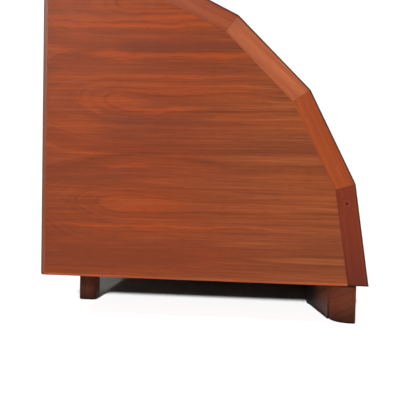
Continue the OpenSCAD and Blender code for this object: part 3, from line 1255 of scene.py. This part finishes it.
@dataclass
class Carcase:
    """The boards between the two sides."""

    plan: Plan  # the stand's sizes
    nose: float = 2.0 * MM  # radius of the boards' front edges
    arris: float = 0.15 * MM  # radius that eases the boards' ends, which meet the sides
    underside_shade_top: float = 0.5 * MM  # height above the case's underside where the painted shade on the bottom board's underside starts
    underside_shade_full: float = 0.1 * MM  # height where it is full

    def build(self) -> None:
        """Builds and dresses the boards."""
        self.top_board()
        self.front_rail()
        under = self.plan.quarter.z
        # Painted shade: the bottom board's underside is made nearly black to stand for the deep shadow under
        # the case.
        shaded_bottom_board = replace(BOARD, downward_darkening=DownwardDarkening(under + self.underside_shade_top, under + self.underside_shade_full, strength=1.0))
        dress("bottom_board", shaded_bottom_board.material(Grain(Run.WIDTH, shift=(0.3, 0.1, 0.2)), "bottom"))
        back = Grain(Run.HEIGHT, shift=(0.6, 0.2, 0.1), figure=Figure.CATHEDRAL)
        back = replace(back, eye=0.02, eye_gap=0.2, mouth=0.9)
        dress("back_board", BOARD.material(back, "back"))

    def _between(self, lines: Sequence[Line], radii: Sequence[float]) -> Slab:
        """A section across the whole width between the sides, with its corners rounded."""
        inner = self.plan.inner
        return Slab(eased(lines, radii), self.plan.quarter.upright(-inner, inner), 2 * inner, self.arris)

    def top_board(self) -> None:
        """The board under the top facet, with a round front edge.

        Its box gives the height of its lower front corner. That corner and the mitre above it give the
        board's thickness, square to the facet.
        """
        quarter = self.plan.quarter
        last = quarter.facets
        mitre = (last - 1) * quarter.step
        drop = quarter.radius * math.sin(mitre) - (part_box("top_board")[0].z - quarter.z)
        thickness = drop / math.sin(mitre) * math.cos(quarter.step / 2)
        lines = [
            quarter.mitre(last - 1, False),
            quarter.facet(last),
            quarter.plumb(self.plan.back_front, False),
            (quarter.angle(last) + math.pi, thickness - quarter.apothem),
        ]
        material = BOARD.material(Grain(Run.WIDTH, shift=(0.1, 0.4, 0.7)), "top")
        make("top_board", material, "walnut_board", self._between(lines, [self.nose, self.nose, 0.0, 0.0]))

    def front_rail(self) -> None:
        """The low rail on the bottom facet, with a round top edge."""
        quarter = self.plan.quarter
        low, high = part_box("front_rail")
        lines = [
            quarter.level(0.0, False),
            quarter.facet(1),
            quarter.level(high.z - quarter.z, True),
            (quarter.angle(1) + math.pi, -self._rail_back(low.x, high.z - quarter.z)),
        ]
        radii = [0.0, 0.6 * MM, 1.5 * self.nose, 1.5 * self.nose]
        material = STRIP.material(Grain(Run.WIDTH, shift=(0.5, 0.1, 0.3)), "rail")
        make("front_rail", material, "walnut_strip", self._between(lines, radii))

    def _rail_back(self, x: float, z: float) -> float:
        """Distance of the rail's back face from the quarter's centre, from its rearmost corner."""
        angle = self.plan.quarter.angle(1)
        return (x - self.plan.quarter.x) * math.cos(angle) + z * math.sin(angle)


@dataclass
class Divider:
    """One divider and the lipping on its open facets."""

    plan: Plan  # the stand's sizes
    number: int  # its number, from the left
    nose: float = 1.4 * MM  # radius of the lipping's front edges
    depth: float = 4.0 * MM  # depth of the lipping, from front to back

    def build(self) -> None:
        """Dresses the panel and builds the lipping."""
        node = f"divider_{self.number}"
        grain = Grain(
            Run.DEPTH,
            shift=(0.3 * self.number, 0.0, 0.07 * self.number),
            figure=Figure.CATHEDRAL,
            eye=0.17,
            eye_gap=0.16,
            mouth=0.4,
        )
        dress(node, BOARD.material(grain, node))
        self.lipping()

    def lipping(self) -> None:
        """Mitred strips along every facet but the top one."""
        quarter = self.plan.quarter
        node = f"divider_lipping_{self.number}"
        low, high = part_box(node)
        lowest = quarter.angle(1)
        outer = (high.x - quarter.x) * math.cos(lowest) + self.plan.bottom * math.sin(lowest)
        ends = [quarter.level(self.plan.bottom, False)]
        ends += [quarter.mitre(index, False) for index in range(1, quarter.facets - 1)]
        tops = [quarter.mitre(index, True) for index in range(1, quarter.facets - 1)]
        tops.append(quarter.facet(quarter.facets, quarter.apothem - self._under_top()))
        slabs = []
        for index, (bottom, top) in enumerate(zip(ends, tops), 1):
            angle = quarter.angle(index)
            lines = [(angle, outer), top, (angle + math.pi, self.depth - outer), bottom]
            place = quarter.upright(low.y, high.y)
            slabs.append(Slab(lines, place, high.y - low.y, self.nose, frozenset({1, 2, 3})))
        material = STRIP.material(Grain(Run.HEIGHT, shift=(0.2 * self.number, 0.3, 0.5)), node)
        make(node, material, "walnut_strip", *slabs)

    def _under_top(self) -> float:
        """Distance of the top board's underside from the quarter's centre."""
        quarter = self.plan.quarter
        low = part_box("top_board")[0]
        front = (low.z - quarter.z) / math.tan((quarter.facets - 1) * quarter.step)
        angle = quarter.angle(quarter.facets)
        return front * math.cos(angle) + (low.z - quarter.z) * math.sin(angle)


@dataclass
class Feet:
    """The front runner, the glue blocks behind it and the two rear feet."""

    plan: Plan  # the stand's sizes
    front_corner: float = 4.0 * MM  # radius of the runner's upright front corners
    back_corner: float = 25.0 * MM  # radius of the runner's upright back corners
    arris: float = 1.2 * MM  # radius that eases the runner's other edges
    block_arris: float = 0.4 * MM  # radius that eases a glue block's edges
    rear_arris: float = 1.6 * MM  # radius that eases the top and bottom of a rear foot
    rear_corner: float = 5.0 * MM  # radius of its upright edges
    counterbore: float = 5.0 * MM  # radius of the screw holes in the runner's underside
    counterbore_depth: float = 24.0 * MM  # their depth
    screw_head: float = 4.25 * MM  # radius of a screw's head
    screws: int = 4  # number of screws
    thin_end: float = 1.5 * MM  # thickness of a glue block at its thin end
    hollow: float = 3.0 * MM  # depth of the hollow in a glue block's sloping face
    hollow_radius: float = 330.0 * MM  # radius of that hollow
    hollow_share: float = 0.99  # share of the hollow's angle that its outermost tangents lie at
    hollow_sides: int = 12  # number of tangents that make it up
    rear_painted_shade: float = 0.65  # brightness of the rear feet's wood next to the runner's: painted shade for the shadow under the case
    block_tone_and_shade: float = 0.9  # brightness of the glue blocks' wood next to the runner's: partly their own darker wood, partly painted shade
    painted_shade_from: float = 0.166  # distance from the middle of the case where a glue block's painted shade starts
    painted_shade_to: float = 0.124  # distance where the painted shade is darkest

    def build(self) -> None:
        """Builds every foot."""
        self.runner()
        for name, sign in SIDES:
            self.rear_foot(name, sign)
            self.glue_block(name, sign)

    def standing(self, lines: Sequence[Line], x: float, y: float, arris: float, sign: int = 1) -> Slab:
        """Stands a shape drawn in plan on the floor, as tall as the feet.

        Args:
            lines: The plan's sides.
            x: Place of the plan's origin along the depth of the case.
            y: Its place along the width.
            arris: Radius that eases the top and bottom edges.
            sign: -1 to mirror the plan to the left side.

        Returns:
            The shape.
        """
        height = self.plan.quarter.z

        def place(u: np.ndarray, v: np.ndarray, w: np.ndarray) -> np.ndarray:
            """Depth, width and height of each point."""
            return np.stack([x + u, y + sign * v, height * w], axis=-1)

        return Slab(lines, place, height, arris)

    @staticmethod
    def rectangle(length: float, width: float) -> list[Line]:
        """The four sides of a rectangle from the origin, from the left side round."""
        return [
            Quarter.level(0.0, False),
            Quarter.plumb(length, True),
            Quarter.level(width, True),
            Quarter.plumb(0.0, False),
        ]

    def runner(self) -> None:
        """The front foot: one board on edge across the whole width, with wide rounds at its back corners."""
        low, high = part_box("front_runner")
        size = high - low
        radii = [self.back_corner, self.front_corner, self.front_corner, self.back_corner]
        outline = eased(self.rectangle(size.x, size.y), radii, steps=16)
        material = FOOT.material(Grain(Run.WIDTH, shift=(0.2, 0.6, 0.1)), "runner")
        slab = self.standing(outline, low.x, low.y, self.arris)
        self._drill(make("front_runner", material, "dark_walnut", slab))

    def _drill(self, piece: bpy.types.Object) -> None:
        """Bores the counterbored screw holes into the runner's underside: circles swept upwards.

        Args:
            piece: The runner.
        """
        low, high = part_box("runner_screws")
        angle = np.linspace(0, 2 * math.pi, 40, endpoint=False)
        across = (low.x + high.x) / 2 + self.counterbore * np.cos(angle)
        shell = Shell()
        for y in np.linspace(low.y + self.screw_head, high.y - self.screw_head, self.screws):
            along = y + self.counterbore * np.sin(angle)
            heights = (-MM, self.counterbore_depth)
            rings = [np.stack([across, along, np.full_like(angle, z)], axis=-1) for z in heights]
            shell.add_rings(np.stack(rings), np.zeros(2))
        cutter = bpy.data.objects.new("counterbores", shell.mesh("counterbores"))
        bpy.context.scene.collection.objects.link(cutter)
        cut = piece.modifiers.new("counterbores", "BOOLEAN")
        cut.operation = "DIFFERENCE"
        cut.solver = "EXACT"
        cut.object = cutter
        graph = bpy.context.evaluated_depsgraph_get()
        drilled = bpy.data.meshes.new_from_object(piece.evaluated_get(graph))
        piece.modifiers.clear()
        piece.data = drilled
        bpy.data.objects.remove(cutter)

    def rear_foot(self, name: str, sign: int) -> None:
        """A square post with round upright edges and an eased bottom.

        Args:
            name: Left or right.
            sign: -1 for the left side and 1 for the right.
        """
        node = f"{name}_rear_foot"
        low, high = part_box(node)
        size = high - low
        outline = eased(self.rectangle(size.x, size.y), [self.rear_corner] * 4)
        # Painted shade: the rear feet are darkened to stand for the shadow under the case.
        wood = FOOT.tinted((self.rear_painted_shade,) * 3)
        material = wood.material(Grain(Run.HEIGHT, shift=(0.4, 0.2 * sign, 0.9)), node)
        make(node, material, "dark_walnut", self.standing(outline, low.x, low.y, self.rear_arris))

    def glue_block(self, name: str, sign: int) -> None:
        """A long wedge behind the runner, whose sloping face is hollowed.

        The hollow is an arc about a centre outside the block. Each of its tangents has the direction to the
        centre as its normal, and the centre's distance along that normal less the radius as its distance.

        Args:
            name: Left or right.
            sign: -1 for the left side and 1 for the right.
        """
        node = f"{name}_glue_block"
        low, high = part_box(node)
        thick, length = high.x - low.x, high.y - low.y
        fall = math.atan2(thick - self.thin_end, length)
        slope = math.pi - fall
        face = (slope, self.thin_end * math.cos(fall) + length * math.sin(fall))
        middle = np.array([-(thick + self.thin_end) / 2, length / 2])
        out = self.hollow_radius - self.hollow
        centre = middle + out * np.array([math.cos(slope), math.sin(slope)])
        half = math.asin(math.sqrt(2 * self.hollow / self.hollow_radius)) * self.hollow_share
        angles = np.linspace(slope + half, slope - half, self.hollow_sides)
        distances = centre[0] * np.cos(angles) + centre[1] * np.sin(angles) - self.hollow_radius
        lines = [
            Quarter.plumb(0.0, True),
            Quarter.level(length, True),
            face,
            *zip(angles.tolist(), distances.tolist()),
            face,
            Quarter.level(0.0, False),
        ]
        inner = low.y if sign > 0 else high.y
        # Painted shade: the block turns almost black towards the middle of the case, standing for the shadow
        # under the case.
        lengthwise = 0.1
        painted_shade_span = (lengthwise + sign * self.painted_shade_from, lengthwise + sign * self.painted_shade_to)
        grain = Grain(Run.WIDTH, shift=(lengthwise, 0.5 * sign, 0.3), turned=painted_shade_span)
        material = FOOT.tinted((self.block_tone_and_shade,) * 3).material(grain, node)
        slab = self.standing(lines, high.x, inner, self.block_arris, sign)
        make(node, material, "dark_walnut", slab)


@dataclass
class Fixings:
    """The screws and dowels."""

    def build(self) -> None:
        """Dresses every group of fixings."""
        dress("back_board_screws", BRASS.material("back"))
        dress("runner_screws", STEEL.material("runner"))
        for node in ("bottom_board_dowels", "top_board_dowels", "front_rail_dowels"):
            dress(node, BEECH.material(Grain(Run.WIDTH), node))


# --- The studio ---


class Falls(Enum):
    """What a lamp lights."""

    EVERYTHING = "everything"
    FLOOR = "floor"
    STAND = "stand"


@dataclass(frozen=True)
class SunLamp:
    """A distant lamp."""

    name: str  # its name
    azimuth: float  # where it stands, in degrees round from the left side towards the front
    elevation: float  # its height above the floor, in degrees
    strength: float  # its strength
    spread: float  # how large it looks, in degrees
    falls: Falls = Falls.EVERYTHING  # what it lights

    def build(self, floor: bpy.types.Object) -> None:
        """Adds the lamp, pointing at the stand, and links it to what it lights.

        Args:
            floor: The floor.
        """
        lamp = bpy.data.lights.new(self.name, "SUN")
        lamp.energy = self.strength
        lamp.angle = math.radians(self.spread)
        holder = bpy.data.objects.new(self.name, lamp)
        bpy.context.scene.collection.objects.link(holder)
        around, up = math.radians(self.azimuth), math.radians(self.elevation)
        source = Vector((math.sin(around) * math.cos(up), -math.cos(around) * math.cos(up), math.sin(up)))
        holder.rotation_euler = source.to_track_quat("Z", "Y").to_euler()
        if self.falls is not Falls.EVERYTHING:
            group = bpy.data.collections.new(f"{self.name}_falls")
            group.objects.link(floor)
            state = "INCLUDE" if self.falls is Falls.FLOOR else "EXCLUDE"
            group.collection_objects[0].light_linking.link_state = state
            holder.light_linking.receiver_collection = group


@dataclass
class Studio:
    """The camera, the lamps and the floor."""

    plan: Plan  # the stand's sizes
    sensor: float = 36.0  # width of the camera's sensor, in millimetres
    focal: float = 54.0  # focal length, in millimetres
    # the camera's place from the quarter's centre on the left side's outer face
    eye: tuple[float, float, float] = (0.2565, -0.7308, 0.1315)
    yaw: float = -4.91  # turn towards the front, in degrees
    pitch: float = -2.51  # tilt upwards, in degrees
    roll: float = 1.32  # tilt to the side, in degrees
    glow: float = 0.03  # strength of the white surround where it lights the stand
    backdrop: float = 1.05  # its strength where the camera sees it
    floor_reach: float = 40.0  # half of the floor's width
    floor_grey: Colour = (0.90, 0.90, 0.90)  # the floor's colour
    # the lamps
    lamps: tuple[SunLamp, ...] = (
        SunLamp("key", azimuth=-22.0, elevation=18.5, strength=2.28, spread=5.0, falls=Falls.STAND),
        SunLamp("floor_wash", azimuth=-4.5, elevation=20.0, strength=9.6, spread=4.0, falls=Falls.FLOOR),
        SunLamp("floor_top", azimuth=0.0, elevation=86.0, strength=0.5, spread=20.0, falls=Falls.FLOOR),
        SunLamp("left_fill", azimuth=-92.0, elevation=41.0, strength=0.42, spread=8.0),
        SunLamp("front_fill", azimuth=98.0, elevation=30.0, strength=2.2, spread=30.0, falls=Falls.STAND),
        SunLamp("back_fill", azimuth=165.0, elevation=34.0, strength=2.2, spread=30.0, falls=Falls.STAND),
    )

    def build(self) -> None:
        """Sets up the whole studio."""
        self.camera()
        self.world()
        floor = self.floor()
        for lamp in self.lamps:
            lamp.build(floor)

    def camera(self) -> None:
        """Adds the camera, level with the lower third of the side panel."""
        data = bpy.data.cameras.new("camera")
        data.lens = self.focal
        data.sensor_width = self.sensor
        data.clip_start = 0.01
        data.clip_end = 100.0
        yaw, pitch, roll = (math.radians(value) for value in (self.yaw, self.pitch, self.roll))
        ahead = Vector((math.sin(yaw) * math.cos(pitch), math.cos(yaw) * math.cos(pitch), math.sin(pitch)))
        right = Vector((math.cos(yaw), -math.sin(yaw), 0.0))
        up = right.cross(ahead)
        turned_right = math.cos(roll) * right + math.sin(roll) * up
        turned_up = -math.sin(roll) * right + math.cos(roll) * up
        turn = Matrix((turned_right, turned_up, -ahead)).transposed()
        quarter = self.plan.quarter
        place = Vector((quarter.x, -self.plan.half_width, quarter.z)) + Vector(self.eye)
        holder = bpy.data.objects.new("camera", data)
        holder.matrix_world = Matrix.Translation(place) @ turn.to_4x4()
        bpy.context.scene.collection.objects.link(holder)
        bpy.context.scene.camera = holder

    def world(self) -> None:
        """A white surround that lights the stand only softly."""
        world = bpy.data.worlds.new("surround")
        world.use_nodes = True
        bpy.context.scene.world = world
        nodes, links = world.node_tree.nodes, world.node_tree.links
        nodes.clear()
        path = nodes.new("ShaderNodeLightPath")
        shades = []
        for strength in (self.glow, self.backdrop):
            shade = nodes.new("ShaderNodeBackground")
            shade.inputs["Color"].default_value = (1.0, 1.0, 1.0, 1.0)
            shade.inputs["Strength"].default_value = strength
            shades.append(shade)
        either = nodes.new("ShaderNodeMixShader")
        output = nodes.new("ShaderNodeOutputWorld")
        links.new(path.outputs["Is Camera Ray"], either.inputs[0])
        links.new(shades[0].outputs[0], either.inputs[1])
        links.new(shades[1].outputs[0], either.inputs[2])
        links.new(either.outputs[0], output.inputs["Surface"])

    def floor(self) -> bpy.types.Object:
        """A wide, plain, pale floor.

        Returns:
            The floor.
        """
        reach = self.floor_reach
        mesh = bpy.data.meshes.new("floor")
        corners = [(-reach, -reach, 0.0), (reach, -reach, 0.0), (reach, reach, 0.0), (-reach, reach, 0.0)]
        mesh.from_pydata(corners, [], [(0, 1, 2, 3)])
        floor = bpy.data.objects.new("floor", mesh)
        bpy.context.scene.collection.objects.link(floor)
        paint = Paint("floor")
        material = paint.finish(Base_Color=self.floor_grey, Roughness=0.9, Specular_IOR_Level=0.1)
        mesh.materials.append(material)
        return floor


def main() -> None:
    """Builds the stand and the studio."""
    logging.basicConfig(level=logging.INFO, format="%(name)s: %(message)s")
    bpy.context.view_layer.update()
    plan = Plan.from_frame()
    bpy.context.scene.view_settings.view_transform = "Standard"
    for name, sign in SIDES:
        SidePanel(plan, name, sign).build()
    Carcase(plan).build()
    for number in (1, 2, 3):
        Divider(plan, number).build()
    Feet(plan).build()
    Fixings().build()
    Studio(plan).build()


if __name__ == "__main__":
    main()
